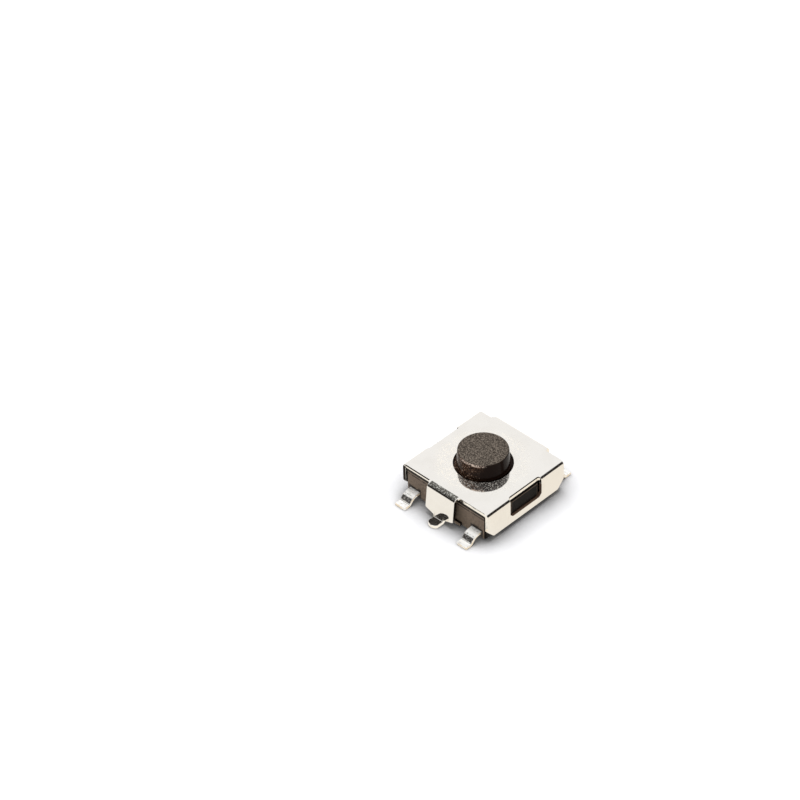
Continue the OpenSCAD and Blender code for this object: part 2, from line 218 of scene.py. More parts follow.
class NodeBench:
    """Adds nodes to one tree. A value given to an input is a number, a colour or another node's output."""

    def __init__(self, tree):
        self.tree = tree

    def add(self, kind, values=None, **settings):
        made = self.tree.nodes.new(kind)
        for name, value in settings.items():
            setattr(made, name, value)
        for name, value in (values or {}).items():
            self.put(made.inputs[name], value)
        return made

    def put(self, socket, value):
        if isinstance(value, bpy.types.NodeSocket):
            self.tree.links.new(value, socket)
        elif hasattr(value, "__len__") and not isinstance(value, str):
            socket.default_value = tuple(value)[: len(socket.default_value)]
        else:
            socket.default_value = value

    def maths(self, operation, a, b=0.0, clamp=False):
        return self.add("ShaderNodeMath", {0: a, 1: b}, operation=operation, use_clamp=clamp).outputs[0]

    def plus(self, a, b):
        return self.maths("ADD", a, b)

    def minus(self, a, b):
        return self.maths("SUBTRACT", a, b)

    def times(self, a, b, clamp=False):
        return self.maths("MULTIPLY", a, b, clamp)

    def power(self, a, b):
        return self.maths("POWER", a, b)

    def larger(self, a, b):
        return self.maths("MAXIMUM", a, b)

    def absolute(self, a):
        return self.maths("ABSOLUTE", a)

    def blend(self, amount, a, b):
        return self.add("ShaderNodeMix", {0: amount, 6: a, 7: b}, data_type="RGBA").outputs[2]

    def ramp(self, value, low, high, to_low=0.0, to_high=1.0):
        """A smooth step from to_low, where the value is low, to to_high, where it is high."""
        values = {"Value": value, "From Min": low, "From Max": high, "To Min": to_low, "To Max": to_high}
        return self.add("ShaderNodeMapRange", values, interpolation_type="SMOOTHSTEP").outputs[0]

    def band(self, value, low, high, soft=0.015):
        """One between low and high, and zero outside."""
        return self.times(
            self.ramp(value, low - soft, low + soft),
            self.ramp(value, high + soft, high - soft),
        )

    def noise(self, place, scale, detail=2.0, roughness=0.5):
        values = {"Vector": place, "Scale": scale, "Detail": detail, "Roughness": roughness}
        return self.add("ShaderNodeTexNoise", values).outputs[0]

    def cells(self, place, scale):
        return self.add("ShaderNodeTexVoronoi", {"Vector": place, "Scale": scale}).outputs["Distance"]

    def stretched(self, place, stretch):
        return self.add("ShaderNodeVectorMath", {0: place, 1: stretch}, operation="MULTIPLY").outputs[0]

    def parts(self, place):
        return self.add("ShaderNodeSeparateXYZ", {0: place}).outputs

    def reach(self, place):
        """How far a place is from the plunger's axis."""
        level = self.stretched(place, (1.0, 1.0, 0.0))
        return self.add("ShaderNodeVectorMath", {0: level}, operation="LENGTH").outputs["Value"]

    def towards(self, x, y, direction, full=1.0):
        """How far a place lies in a direction seen from above, as a share of a full distance."""
        return self.plus(self.times(x, direction[0] / full), self.times(y, direction[1] / full))

    def gloss_rays(self, path):
        """One for the rays that metal or glass sends out, and zero for all others."""
        return self.larger(path["Is Glossy Ray"], path["Is Transmission Ray"])


def new_group(name, inputs, outputs):
    """A shader node group with its named inputs and outputs."""
    group = bpy.data.node_groups.new(name, "ShaderNodeTree")
    for title, kind, default in inputs:
        socket = group.interface.new_socket(title, in_out="INPUT", socket_type="NodeSocket" + kind)
        if default is not None:
            socket.default_value = default
    for title, kind in outputs:
        group.interface.new_socket(title, in_out="OUTPUT", socket_type="NodeSocket" + kind)
    bench = NodeBench(group)
    return group, bench, bench.add("NodeGroupInput").outputs, bench.add("NodeGroupOutput").inputs


def plating_group():
    """Cloudy plated sheet with fine grain, sparse dull specks and a few pits. Height in millimetres."""
    group, bench, given, result = new_group(
        "Plating",
        [("Place", "Vector", None), ("Colour", "Color", None), ("Shade", "Color", None),
         ("Roughness", "Float", 0.1), ("Grain", "Float", 14.0), ("Specks", "Float", 0.5), ("Pits", "Float", 0.5)],
        [("Colour", "Color"), ("Roughness", "Float"), ("Metallic", "Float"), ("Height", "Float")],
    )
    clouds = bench.noise(given["Place"], 0.9, 4.0, 0.6)
    grain = bench.noise(given["Place"], given["Grain"], 3.0, 0.65)
    coarse = bench.noise(given["Place"], bench.times(given["Grain"], 0.85), 2.0, 0.7)
    specks = bench.times(bench.ramp(coarse, 0.5, 0.66), given["Specks"])
    pits = bench.times(bench.ramp(bench.cells(given["Place"], 2.3), 0.05, 0.03), given["Pits"])
    shade = bench.plus(bench.ramp(clouds, 0.35, 0.7), bench.times(grain, 0.5))
    plated = bench.blend(bench.times(shade, 0.5, clamp=True), given["Colour"], given["Shade"])
    plated = bench.blend(specks, plated, DULL_SPECK)
    bench.put(result["Colour"], bench.blend(bench.times(pits, 0.55), plated, PIT))
    bench.put(result["Roughness"], bench.plus(given["Roughness"], bench.times(pits, 0.5)))
    bench.put(result["Metallic"], bench.minus(0.98, bench.times(specks, 0.45)))
    rises = bench.plus(bench.times(grain, 0.00015), bench.times(specks, 0.0002))
    bench.put(result["Height"], bench.minus(rises, bench.times(pits, 0.004)))
    return group


def orange_peel_group():
    """Wrinkles of sheet that has been bent: bumps, and a mask of the creases where shade is painted. Height in
    millimetres.
    """
    group, bench, given, result = new_group(
        "Orange Peel",
        [("Place", "Vector", None), ("Size", "Float", 8.0)],
        [("Creases", "Float"), ("Height", "Float")],
    )
    coarse = bench.noise(given["Place"], given["Size"], 3.0, 0.7)
    fine = bench.noise(given["Place"], bench.times(given["Size"], 2.6), 2.0, 0.6)
    both = bench.plus(coarse, bench.times(fine, 0.5))
    bench.put(result["Height"], bench.times(both, 0.006))
    bench.put(result["Creases"], bench.ramp(both, 0.62, 0.7))
    return group


def sheared_edge_group():
    """A stamped edge: burnished with fine streaks across the sheet, and torn patches. Height in millimetres."""
    group, bench, given, result = new_group(
        "Sheared Edge",
        [("Place", "Vector", None), ("Bright", "Color", None), ("Torn", "Color", None), ("Tear", "Float", 0.0)],
        [("Colour", "Color"), ("Roughness", "Float"), ("Height", "Float")],
    )
    streaks = bench.noise(bench.stretched(given["Place"], (11.0, 11.0, 2.2)), 1.0, 3.0, 0.6)
    patches = bench.noise(given["Place"], 5.5, 4.0, 0.7)
    uneven = bench.plus(patches, bench.times(streaks, 0.35))
    torn = bench.ramp(bench.plus(uneven, bench.times(given["Tear"], 0.45)), 1.02, 1.12)
    bench.put(result["Colour"], bench.blend(torn, given["Bright"], given["Torn"]))
    bench.put(result["Roughness"], bench.ramp(torn, 0.0, 1.0, 0.16, 0.6))
    rough = bench.times(bench.times(patches, torn), 0.012)
    bench.put(result["Height"], bench.plus(bench.times(streaks, 0.001), rough))
    return group


def moulded_group():
    """Moulded plastic with the grain of a spark-eroded tool: dark hollows and light flecks. Height in millimetres."""
    group, bench, given, result = new_group(
        "Moulded Texture",
        [("Place", "Vector", None), ("Colour", "Color", None), ("Fleck", "Color", None),
         ("Size", "Float", 11.0), ("Share", "Float", 0.5), ("Roughness", "Float", 0.5)],
        [("Colour", "Color"), ("Roughness", "Float"), ("Height", "Float")],
    )
    craters = bench.noise(given["Place"], given["Size"], 1.5, 0.65)
    clouds = bench.noise(given["Place"], 1.6, 3.0, 0.5)
    flecks = bench.times(bench.ramp(craters, 0.5, 0.66), given["Share"], clamp=True)
    hollows = bench.times(bench.ramp(craters, 0.5, 0.36), given["Share"], clamp=True)
    dark = bench.blend(0.6, given["Colour"], BLACK)
    base = bench.blend(bench.ramp(clouds, 0.35, 0.75, 0.0, 0.2), given["Colour"], given["Fleck"])
    base = bench.blend(hollows, base, dark)
    bench.put(result["Colour"], bench.blend(flecks, base, given["Fleck"]))
    bench.put(result["Roughness"], bench.plus(given["Roughness"], bench.ramp(craters, 0.3, 0.7, 0.08, -0.08)))
    bench.put(result["Height"], bench.times(craters, 0.01))
    return group


EFFECTS = {
    "Plating": plating_group,
    "Orange Peel": orange_peel_group,
    "Sheared Edge": sheared_edge_group,
    "Moulded Texture": moulded_group,
}


def effect(kind):
    """Each node group is made once and shared by the materials."""
    return bpy.data.node_groups.get(kind) or EFFECTS[kind]()


class Finish:
    """A material with one Principled surface, a Bump and the place on the switch in millimetres."""

    def __init__(self, name, **constants):
        self.material = bpy.data.materials.new(name)
        self.material.use_nodes = True
        tree = self.material.node_tree
        tree.nodes.clear()
        self.bench = NodeBench(tree)
        self.surface = self.bench.add("ShaderNodeBsdfPrincipled", constants)
        self.bench.add("ShaderNodeOutputMaterial", {"Surface": self.surface.outputs[0]})
        on_object = self.bench.add("ShaderNodeTexCoord").outputs["Object"]
        to_mm = {0: on_object, "Scale": 1 / MM}
        self.place = self.bench.add("ShaderNodeVectorMath", to_mm, operation="SCALE").outputs[0]

    def use(self, kind, **values):
        made = self.bench.add("ShaderNodeGroup", node_tree=effect(kind))
        for name, value in {"Place": self.place, **values}.items():
            self.bench.put(made.inputs[name], value)
        return made.outputs

    def bump(self, height):
        """The height is in millimetres."""
        values = {"Height": height, "Distance": MM}
        self.bench.put(self.surface.inputs["Normal"], self.bench.add("ShaderNodeBump", values).outputs[0])

    def mix(self, amount, a, b):
        return self.bench.add("ShaderNodeMix", {0: amount, 2: a, 3: b}).outputs[0]

    def set(self, **values):
        for name, value in values.items():
            self.bench.put(self.surface.inputs[name.replace("_", " ")], value)


# Places in the finishes below are in millimetres. Ramps and bands say where a finish changes.


def cover_steel(settings, fold):
    """Bright plated sheet, with dull specks round the hole and wrinkles where it was stretched over the tab's bend,
    with painted shade and painted dark reflection in their creases.
    """
    finish = Finish("Plated Cover Steel")
    bench = finish.bench
    x, y, z = bench.parts(finish.place)
    speckled, clear = 2.2, 2.8
    specks = bench.times(bench.ramp(bench.reach(finish.place), clear, speckled), bench.ramp(z, fold.z, fold.z + 0.2))
    fewer, more = 0.75, 1.4
    specks = bench.times(specks, bench.ramp(x, 1.0, -0.6, fewer, more))
    plating = finish.use(
        "Plating", Colour=settings.steel, Shade=settings.steel_shade, Roughness=settings.roughness,
        Specks=specks, Pits=0.25,
    )
    peel = finish.use("Orange Peel", Size=13.0)
    tab_side = settings.tab / MM / 2
    along = bench.ramp(bench.absolute(x), tab_side - 0.02, tab_side - 0.06)
    over = bench.band(bench.times(y, -1.0), fold.y - 0.13, fold.y + 0.17)
    stretched = bench.times(along, over)
    # The creases of the stretched bend get painted shade and painted dark reflection.
    wrinkles_and_crease_shade = bench.blend(peel["Creases"], settings.wrinkle, settings.crease_shade)
    finish.set(Base_Color=bench.blend(bench.times(stretched, 0.92), plating["Colour"], wrinkles_and_crease_shade))
    finish.set(Roughness=bench.plus(plating["Roughness"], bench.times(stretched, 0.2)))
    finish.set(Metallic=plating["Metallic"])
    finish.bump(bench.plus(plating["Height"], bench.times(stretched, peel["Height"])))
    return finish.material


def cover_edge(settings, top, wall):
    """A cut edge of the cover: a painted dark reflection where the sheet rolls over its top, bright below, a painted
    shadow beside the tab, and much darker on the left skirt's end.
    """
    finish = Finish("Stamped Cover Edge")
    bench = finish.bench
    x, y, z = bench.parts(finish.place)
    # Painted reflection: a dark line along the top of the cut edge, standing in for what its rolled rim mirrors.
    roll = bench.ramp(z, top - 0.1, top - 0.08)
    # In front and to the right of the tab, the painted dark line breaks up into faint dashes. It ends before the rear.
    dashes = bench.ramp(bench.noise(bench.stretched(finish.place, (5.0, 5.0, 2.0)), 1.0, 2.0, 0.6), 0.5, 0.56)
    front_right = bench.times(bench.ramp(x, 0.9, 1.0), bench.ramp(y, -2.5, -2.7))
    shown = finish.mix(front_right, 1.0, bench.times(dashes, 0.4))
    painted_roll_reflection = bench.times(bench.times(roll, shown), bench.ramp(y, 2.5, 2.3))
    # Painted shadow: the tab's right side, which faces the gap beside it, is painted dark below the bend.
    tab_gap_shadow = bench.times(bench.band(x, 0.9, 1.2), bench.ramp(bench.plus(y, z), top - 3.36, top - 3.4))
    dark = bench.larger(painted_roll_reflection, tab_gap_shadow)
    # The left skirt's end is made much darker below its top.
    left_skirt = bench.times(bench.ramp(x, 0.06 - wall, 0.03 - wall), bench.ramp(z, top - 0.1, top - 0.2))
    edge = finish.use(
        "Sheared Edge", Bright=settings.shear_bright, Torn=settings.dark_edge_and_painted_shade, Tear=bench.times(left_skirt, 3.0)
    )
    # The rims of the side windows are coloured brownish and made mostly matte.
    window_rim = bench.times(bench.ramp(bench.absolute(y), 2.0, 1.9), bench.ramp(z, top - 0.4, top - 0.5))
    rimmed = bench.blend(window_rim, edge["Colour"], settings.rim)
    # The painted reflection and the painted shadow take the dark edge colour.
    finish.set(Base_Color=bench.blend(dark, rimmed, settings.dark_edge_and_painted_shade), Roughness=edge["Roughness"])
    finish.set(Metallic=finish.mix(window_rim, 1.0, 0.2))
    finish.bump(edge["Height"])
    return finish.material


def plunger_plastic(settings, top, rim):
    """Black plastic with a spark-eroded top, a polished side, and scuffs and rubs towards the front left that are
    partly wear and partly painted sheen on the lit side.
    """
    finish = Finish("Black Plunger Plastic", **{"Specular IOR Level": 0.06})
    bench = finish.bench
    eroded = finish.use(
        "Moulded Texture", Colour=settings.top, Fleck=settings.fleck, Size=14.5, Share=0.9, Roughness=0.6
    )
    polished = finish.use(
        "Moulded Texture", Colour=settings.side, Fleck=settings.side, Size=9.0, Share=0.0, Roughness=0.2
    )
    x, y, z = bench.parts(finish.place)
    on_top = bench.ramp(z, top - 0.014, top - 0.004)
    on_lit_left = bench.ramp(bench.towards(x, y, WORN_AND_LIT_SIDE, rim), 0.0, 0.6)
    at_front = bench.towards(x, y, NICKED_SIDE, rim)
    grit = bench.noise(finish.place, 13.0, 2.0, 0.75)
    # Towards the front left the scuffs and rubs are partly wear and partly painted sheen, on the side that faces the
    # light.
    scuffs_and_sheen = bench.times(on_lit_left, bench.ramp(grit, 0.46, 0.62))
    rubs_and_sheen = bench.times(on_lit_left, bench.ramp(grit, 0.64, 0.7))
    patch = bench.times(bench.ramp(at_front, 0.84, 0.98), bench.ramp(z, top - 0.5, top - 0.1))
    patch = bench.times(patch, bench.ramp(grit, 0.42, 0.6))
    nicks = bench.times(bench.ramp(at_front, 0.8, 0.93), bench.band(z, top - 0.12, top - 0.01))
    nicks = bench.times(nicks, bench.ramp(bench.noise(finish.place, 6.5, 4.0, 0.75), 0.42, 0.56))
    side = bench.blend(bench.times(scuffs_and_sheen, 0.7), polished["Colour"], settings.scuff_and_sheen)
    side = bench.blend(rubs_and_sheen, side, settings.rub_and_sheen)
    side = bench.blend(bench.times(patch, 0.5), side, settings.scuff_and_sheen)
    side = bench.blend(nicks, side, settings.rub_and_sheen)
    finish.set(Base_Color=bench.blend(on_top, side, eroded["Colour"]))
    finish.set(Roughness=finish.mix(on_top, polished["Roughness"], eroded["Roughness"]))
    finish.bump(finish.mix(on_top, 0.0, eroded["Height"]))
    return finish.material


def housing_ends(settings, roof, leads):
    """Lightly textured plastic in front and behind, with a painted highlight line and painted shade under the cover,
    and a painted shadow round the leads.
    """
    finish = Finish("Textured Housing Plastic", **{"Specular IOR Level": 0.25})
    bench = finish.bench
    moulded = finish.use(
        "Moulded Texture", Colour=settings.plastic, Fleck=settings.fleck, Size=12.0, Share=0.45, Roughness=0.6
    )
    x, _, z = bench.parts(finish.place)
    # Painted highlight: a thin light line along the chamfer under the cover.
    line = bench.band(z, roof - 0.25, roof - 0.2)
    patches = bench.noise(finish.place, 3.0, 3.0, 0.7)
    # Painted shade: dark dashes below that line, and a dark band right under the cover.
    dashes = bench.times(bench.band(z, roof - 0.34, roof - 0.26), bench.ramp(patches, 0.38, 0.46))
    shade_under_cover = bench.larger(dashes, bench.ramp(z, roof - 0.2, roof - 0.18))
    # Painted shadow: a jagged dark patch where the leads leave the housing.
    jagged = bench.plus(z, bench.times(patches, 0.5))
    lead_exit_shadow = bench.band(bench.absolute(x), 1.82, 2.7, 0.04)
    lead_exit_shadow = bench.times(lead_exit_shadow, bench.ramp(jagged, leads + 0.5, leads + 0.4))
    dark = bench.times(bench.larger(shade_under_cover, lead_exit_shadow), 0.9)
    base = bench.blend(bench.times(line, 0.5), moulded["Colour"], settings.fleck)
    finish.set(Base_Color=bench.blend(dark, base, settings.smooth), Roughness=moulded["Roughness"])
    finish.bump(moulded["Height"])
    return finish.material


def housing_sides(settings, face, roof):
    """Smooth black plastic under the skirts, near-black partly for its polish and partly as painted shade; the snap
    bosses' edges carry a painted highlight.
    """
    finish = Finish("Smooth Housing Plastic", **{"Specular IOR Level": 0.05})
    bench = finish.bench
    fleck = [4 * c for c in settings.smooth]
    smooth = finish.use("Moulded Texture", Colour=settings.smooth, Fleck=fleck, Size=13.0, Share=0.12, Roughness=0.35)
    x, y, z = bench.parts(finish.place)
    on_boss = bench.ramp(bench.absolute(x), face - 0.04, face - 0.02)
    # Painted highlights along the bosses' upper and end edges.
    upper_edge_highlight = bench.band(z, roof - 0.225, roof - 0.185)
    end_edge_highlights = bench.band(bench.absolute(y), 0.97, 1.01)
    lines = bench.times(bench.times(on_boss, bench.larger(upper_edge_highlight, end_edge_highlights)), 0.8)
    finish.set(Base_Color=bench.blend(lines, smooth["Colour"], settings.plastic), Roughness=smooth["Roughness"])
    finish.bump(bench.times(smooth["Height"], 0.3))
    return finish.material


def tin_plate(settings, sheet, rise):
    """Tin over a formed strip, with fine lines across it from the forming tool, which polished its slope."""
    finish = Finish("Tin Plated Strip")
    bench = finish.bench
    shade = [0.88 * c for c in settings.tin]
    plating = finish.use(
        "Plating", Colour=settings.tin, Shade=shade, Roughness=0.12, Grain=11.0, Specks=0.6, Pits=0.7
    )
    lines = bench.noise(bench.stretched(finish.place, (0.8, 13.0, 13.0)), 1.0, 3.0, 0.6)
    z = bench.parts(finish.place)["Z"]
    fold = bench.band(z, sheet + 0.012, sheet + 0.03, 0.006)
    broken = bench.ramp(bench.noise(finish.place, 7.0, 2.0, 0.6), 0.5, 0.56)
    marks = bench.larger(bench.times(bench.ramp(lines, 0.52, 0.57), broken), fold)
    slope = bench.band(z, sheet + 0.05, rise - 0.13)
    dull, polished = 0.1, 1.0
    finish.set(Base_Color=bench.blend(bench.times(marks, 0.75), plating["Colour"], settings.tin_shade))
    finish.set(Roughness=bench.plus(plating["Roughness"], bench.times(marks, 0.1)))
    finish.set(Metallic=bench.times(plating["Metallic"], bench.ramp(slope, 0.0, 1.0, dull, polished)))
    finish.bump(bench.plus(plating["Height"], bench.times(lines, 0.0008)))
    return finish.material


def bare_alloy(settings):
    """A cut end or side of a strip: copper alloy, mostly smeared over with tin."""
    finish = Finish("Cut Strip Edge", Metallic=0.9)
    edge = finish.use("Sheared Edge", Bright=settings.tin, Torn=settings.copper, Tear=0.9)
    finish.set(Base_Color=edge["Colour"], Roughness=edge["Roughness"])
    finish.bump(finish.bench.times(edge["Height"], 0.4))
    return finish.material


def spring_steel(settings):
    """Bright spring steel with fine grain."""
    finish = Finish("Dome Spring Steel")
    shade = [0.9 * c for c in settings.spring_steel]
    plating = finish.use(
        "Plating", Colour=settings.spring_steel, Shade=shade, Roughness=0.22, Grain=18.0, Specks=0.1, Pits=0.2
    )
    finish.set(Base_Color=plating["Colour"], Roughness=plating["Roughness"], Metallic=plating["Metallic"])
    finish.bump(plating["Height"])
    return finish.material


def amber_film(settings):
    """Smooth amber film, a little paler in patches."""
    finish = Finish("Amber Sealing Film", Metallic=0.0)
    skin = finish.use(
        "Moulded Texture", Colour=settings.film, Fleck=settings.film_fleck, Size=3.0, Share=0.15, Roughness=0.2
    )
    finish.set(Base_Color=skin["Colour"], Roughness=skin["Roughness"])
    finish.bump(finish.bench.times(skin["Height"], 0.2))
    return finish.material


# ---------------------------------------------------------------- modelling


def pick_only(piece=None):
    """Leaves edit mode and selects one piece, or nothing."""
    if bpy.context.object and bpy.context.object.mode != "OBJECT":
        bpy.ops.object.mode_set(mode="OBJECT")
    bpy.ops.object.select_all(action="DESELECT")
    if piece:
        piece.select_set(True)
        bpy.context.view_layer.objects.active = piece


def pick_faces(test):
    """In edit mode, selects the faces whose middle and normal pass the test."""
    bpy.ops.mesh.select_mode(type="FACE")
    bpy.ops.mesh.select_all(action="DESELECT")
    shape = bmesh.from_edit_mesh(bpy.context.object.data)
    for face in shape.faces:
        face.select_set(test(face.calc_center_median(), face.normal))
    bmesh.update_edit_mesh(bpy.context.object.data)


def pick_edges(test):
    """In edit mode, selects the edges whose two ends pass the test."""
    bpy.ops.mesh.select_mode(type="EDGE")
    bpy.ops.mesh.select_all(action="DESELECT")
    shape = bmesh.from_edit_mesh(bpy.context.object.data)
    for edge in shape.edges:
        edge.select_set(test(edge.verts[0].co, edge.verts[1].co))
    bmesh.update_edit_mesh(bpy.context.object.data)


def rename(piece, name):
    """Gives a piece and its mesh the same name."""
    piece.name = piece.data.name = name
    return piece


def piece_from_node(node, name):
    """A copy of a CAD node in millimetres, merged and with its flat faces joined, ready for detail."""
    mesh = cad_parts[node].data.copy()
    mesh.materials.clear()
    piece = bpy.data.objects.new(name, mesh)
    bpy.context.scene.collection.objects.link(piece)
    pick_only(piece)
    if mesh.has_custom_normals:
        bpy.ops.mesh.customdata_custom_splitnormals_clear()
    while mesh.uv_layers:
        mesh.uv_layers.remove(mesh.uv_layers[0])
    mesh.transform(Matrix.Scale(1 / MM, 4))
    bpy.ops.object.mode_set(mode="EDIT")
    bpy.ops.mesh.select_all(action="SELECT")
    bpy.ops.mesh.remove_doubles(threshold=MERGE)
    bpy.ops.mesh.dissolve_limited(angle_limit=math.radians(0.6))
    bpy.ops.object.mode_set(mode="OBJECT")
    return rename(piece, name)


def smooth(piece, angle=50.0):
    """Smooth shading with weighted normals, which keep the flat faces flat right up to their edges."""
    pick_only(piece)
    bpy.ops.object.shade_smooth_by_angle(angle=math.radians(angle))
    normals = piece.modifiers.new("Flat faces", "WEIGHTED_NORMAL")
    normals.keep_sharp = True
    bpy.ops.object.modifier_apply(modifier=normals.name)


def corners(mesh, face):
    """Each corner of a face: its index, its place and its shading normal."""
    places = [mesh.vertices[mesh.loops[i].vertex_index].co.copy() for i in face.loop_indices]
    normals = [Vector(mesh.corner_normals[i].vector) for i in face.loop_indices]
    return list(zip(face.loop_indices, places, normals))


def round_edges(piece, radius, segments=2, angle=35.0):
    """Rounds the sharp edges with a bevel that is applied.

    The faces between keep the shading they had, so that the rounding doesn't bend what they reflect.
    """
    smooth(piece, angle)
    mesh = piece.data
    before = [(face.normal.copy(), corners(mesh, face)) for face in mesh.polygons]
    mesh.attributes.new("before", "INT", "FACE").data.foreach_set("value", range(len(before)))
    bevel = piece.modifiers.new("Rounded edges", "BEVEL")
    bevel.width = radius / MM
    bevel.segments = segments
    bevel.limit_method = "ANGLE"
    bevel.angle_limit = math.radians(angle)
    bevel.use_clamp_overlap = False
    bpy.ops.object.modifier_apply(modifier=bevel.name)
    bpy.ops.mesh.customdata_custom_splitnormals_clear()
    smooth(piece)
    mesh = piece.data
    normals = [Vector(normal.vector) for normal in mesh.corner_normals]
    same_way = 0.9999
    for face in mesh.polygons:
        normal, old = before[mesh.attributes["before"].data[face.index].value]
        if face.normal.dot(normal) > same_way:
            for index, place, _ in corners(mesh, face):
                normals[index] = min(old, key=lambda corner: (corner[1] - place).length_squared)[2]
    mesh.attributes.remove(mesh.attributes["before"])
    mesh.normals_split_custom_set(normals)


def hand_over(piece, nodes, body):
    """Brings a finished piece to metres and puts it in place of its CAD nodes."""
    piece.data.transform(Matrix.Scale(MM, 4))
    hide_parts(*nodes)
    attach(piece, body)
    return piece


class SWITCH_OT_cover(bpy.types.Operator):
    """Folded sheet-metal cover with rounded stamped edges, a finely rounded hole and its own finish on cut edges"""

    bl_idname = "switch.cover"
    bl_label = "Cover"

    def execute(self, context):
        settings = context.scene.push_switch.cover
        high = in_millimetres(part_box("cover"))[1]
        sheet = settings.sheet / MM
        outside = sheet + settings.bend_inside / MM
        fold = Vector((high.x - outside, high.y - outside, high.z - outside))
        piece = piece_from_node("cover", "Cover")

        self.refine_hole(piece)
        piece.data.materials.append(cover_steel(settings, fold))
        piece.data.materials.append(cover_edge(settings, high.z, high.x - sheet))
        for face in piece.data.polygons:
            face.material_index = int(self.is_cut(face.center, face.normal, fold))
        round_edges(piece, settings.edge_radius)
        hand_over(piece, ["cover"], "base")
        return {"FINISHED"}

    @staticmethod
    def is_cut(middle, normal, fold):
        """True on the edges that the die cut, where the face doesn't lie along the sheet."""
        along, nearly_along, foot_top = 0.7, 0.3, 0.25 * fold.z
        if abs(middle.y) < fold.y:
            if abs(middle.x) <= fold.x:
                return abs(normal.z) < along
            across = Vector((abs(middle.x) - fold.x, 0, max(middle.z - fold.z, 0))).normalized()
            return abs(abs(normal.x) * across.x + abs(normal.z) * across.z) < along
        if middle.y > 0 and middle.z < fold.z:
            return abs(normal.y) < along
        at_foot = middle.y < -fold.y and middle.z < foot_top
        return abs(normal.x) > nearly_along or (at_foot and abs(normal.z) < nearly_along)

    @staticmethod
    def refine_hole(piece):
        """Divides the rims of the hole and brings the new points out to its true radius."""
        bpy.ops.object.mode_set(mode="EDIT")
        radii = [math.hypot(v.co.x, v.co.y) for v in piece.data.vertices]
        hole = min(radii)
        corner_play, chord_play = 0.004, 0.002

        def on_rim(point):
            return abs(math.hypot(point.x, point.y) - hole) < corner_play

        pick_edges(lambda a, b: on_rim(a) and on_rim(b) and abs(a.z - b.z) < LEVEL)
        bpy.ops.mesh.subdivide(number_cuts=3)
        shape = bmesh.from_edit_mesh(piece.data)
        for point in shape.verts:
            if math.hypot(point.co.x, point.co.y) < hole + chord_play:
                point.co.xy = point.co.xy.normalized() * hole
        bmesh.update_edit_mesh(piece.data)
        bpy.ops.object.mode_set(mode="OBJECT")


class SWITCH_OT_plunger(bpy.types.Operator):
    """Round plunger: flange, neck, tapered button with a rounded rim, and the boss that presses the dome"""

    bl_idname = "switch.plunger"
    bl_label = "Plunger"

    def execute(self, context):
        settings = context.scene.push_switch.plunger
        low, high = in_millimetres(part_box("plunger"))
        flange_radius = high.x
        neck = settings.neck / MM / 2
        top = neck - settings.taper / MM / 2
        plate_top = in_millimetres(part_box("cover"))[1].z
        flange_low = low.z + settings.boss_height / MM
        flange_high = plate_top - settings.flange_drop / MM

        # The flange that the cover holds down.
        pick_only()
        bpy.ops.mesh.primitive_cylinder_add(
            vertices=settings.facets, radius=flange_radius, depth=flange_high - flange_low,
            location=(0, 0, (flange_low + flange_high) / 2),
        )
        piece = rename(bpy.context.object, "Plunger")
        bpy.ops.object.transform_apply(location=True, rotation=True, scale=True)
        bpy.ops.object.mode_set(mode="EDIT")
        # The neck, up through the cover, and the tapered button on it.
        pick_faces(lambda middle, normal: normal.z > 0.9)
        bpy.ops.mesh.inset(thickness=flange_radius - neck)
        bpy.ops.mesh.extrude_region_move(TRANSFORM_OT_translate={"value": (0, 0, plate_top - flange_high)})
        bpy.ops.mesh.inset(thickness=settings.shoulder / MM)
        base = neck - settings.shoulder / MM
        bpy.ops.mesh.extrude_region_move(TRANSFORM_OT_translate={"value": (0, 0, high.z - plate_top)})
        bpy.ops.transform.resize(value=(top / base, top / base, 1), center_override=(0, 0, high.z))
        pick_edges(lambda a, b: min(a.z, b.z) > high.z - LEVEL)
        bpy.ops.mesh.bevel(offset=settings.rim_radius / MM, segments=5, affect="EDGES")
        # The boss that presses the dome.
        pick_faces(lambda middle, normal: normal.z < -0.9)
        bpy.ops.mesh.inset(thickness=flange_radius - settings.boss / MM / 2)
        bpy.ops.mesh.extrude_region_move(TRANSFORM_OT_translate={"value": (0, 0, low.z - flange_low)})

        def on_flange(point):
            return abs(math.hypot(point.x, point.y) - flange_radius) < 0.01 and (
                flange_low - LEVEL < point.z < flange_high + LEVEL
            )

        pick_edges(lambda a, b: abs(a.z - b.z) < LEVEL and (a.z < low.z + LEVEL or on_flange(a)))
        bpy.ops.mesh.bevel(offset=settings.inner_edges / MM, segments=2, affect="EDGES")
        bpy.ops.object.mode_set(mode="OBJECT")
        piece.data.materials.append(plunger_plastic(settings, high.z, top))
        smooth(piece)
        hand_over(piece, ["plunger"], "button")
        return {"FINISHED"}


class SWITCH_OT_housing(bpy.types.Operator):
    """Moulded housing with rounded edges, textured in front and behind and smooth elsewhere"""

    bl_idname = "switch.housing"
    bl_label = "Housing"

    def execute(self, context):
        settings = context.scene.push_switch.housing
        piece = piece_from_node("housing", "Housing")
        high = in_millimetres(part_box("housing"))[1]
        leads = context.scene.push_switch.terminals.exit_height / MM
        piece.data.materials.append(housing_sides(settings, high.x, high.z))
        piece.data.materials.append(housing_ends(settings, high.z, leads))
        for face in piece.data.polygons:
            # The faces under the skirts get the near-black finish, partly for their polish and partly as painted
            # shade.
            face.material_index = int(abs(face.normal.y) > 0.9 and abs(face.center.y) > 2.5)
        round_edges(piece, settings.edge_radius)
        hand_over(piece, ["housing"], "base")
        return {"FINISHED"}


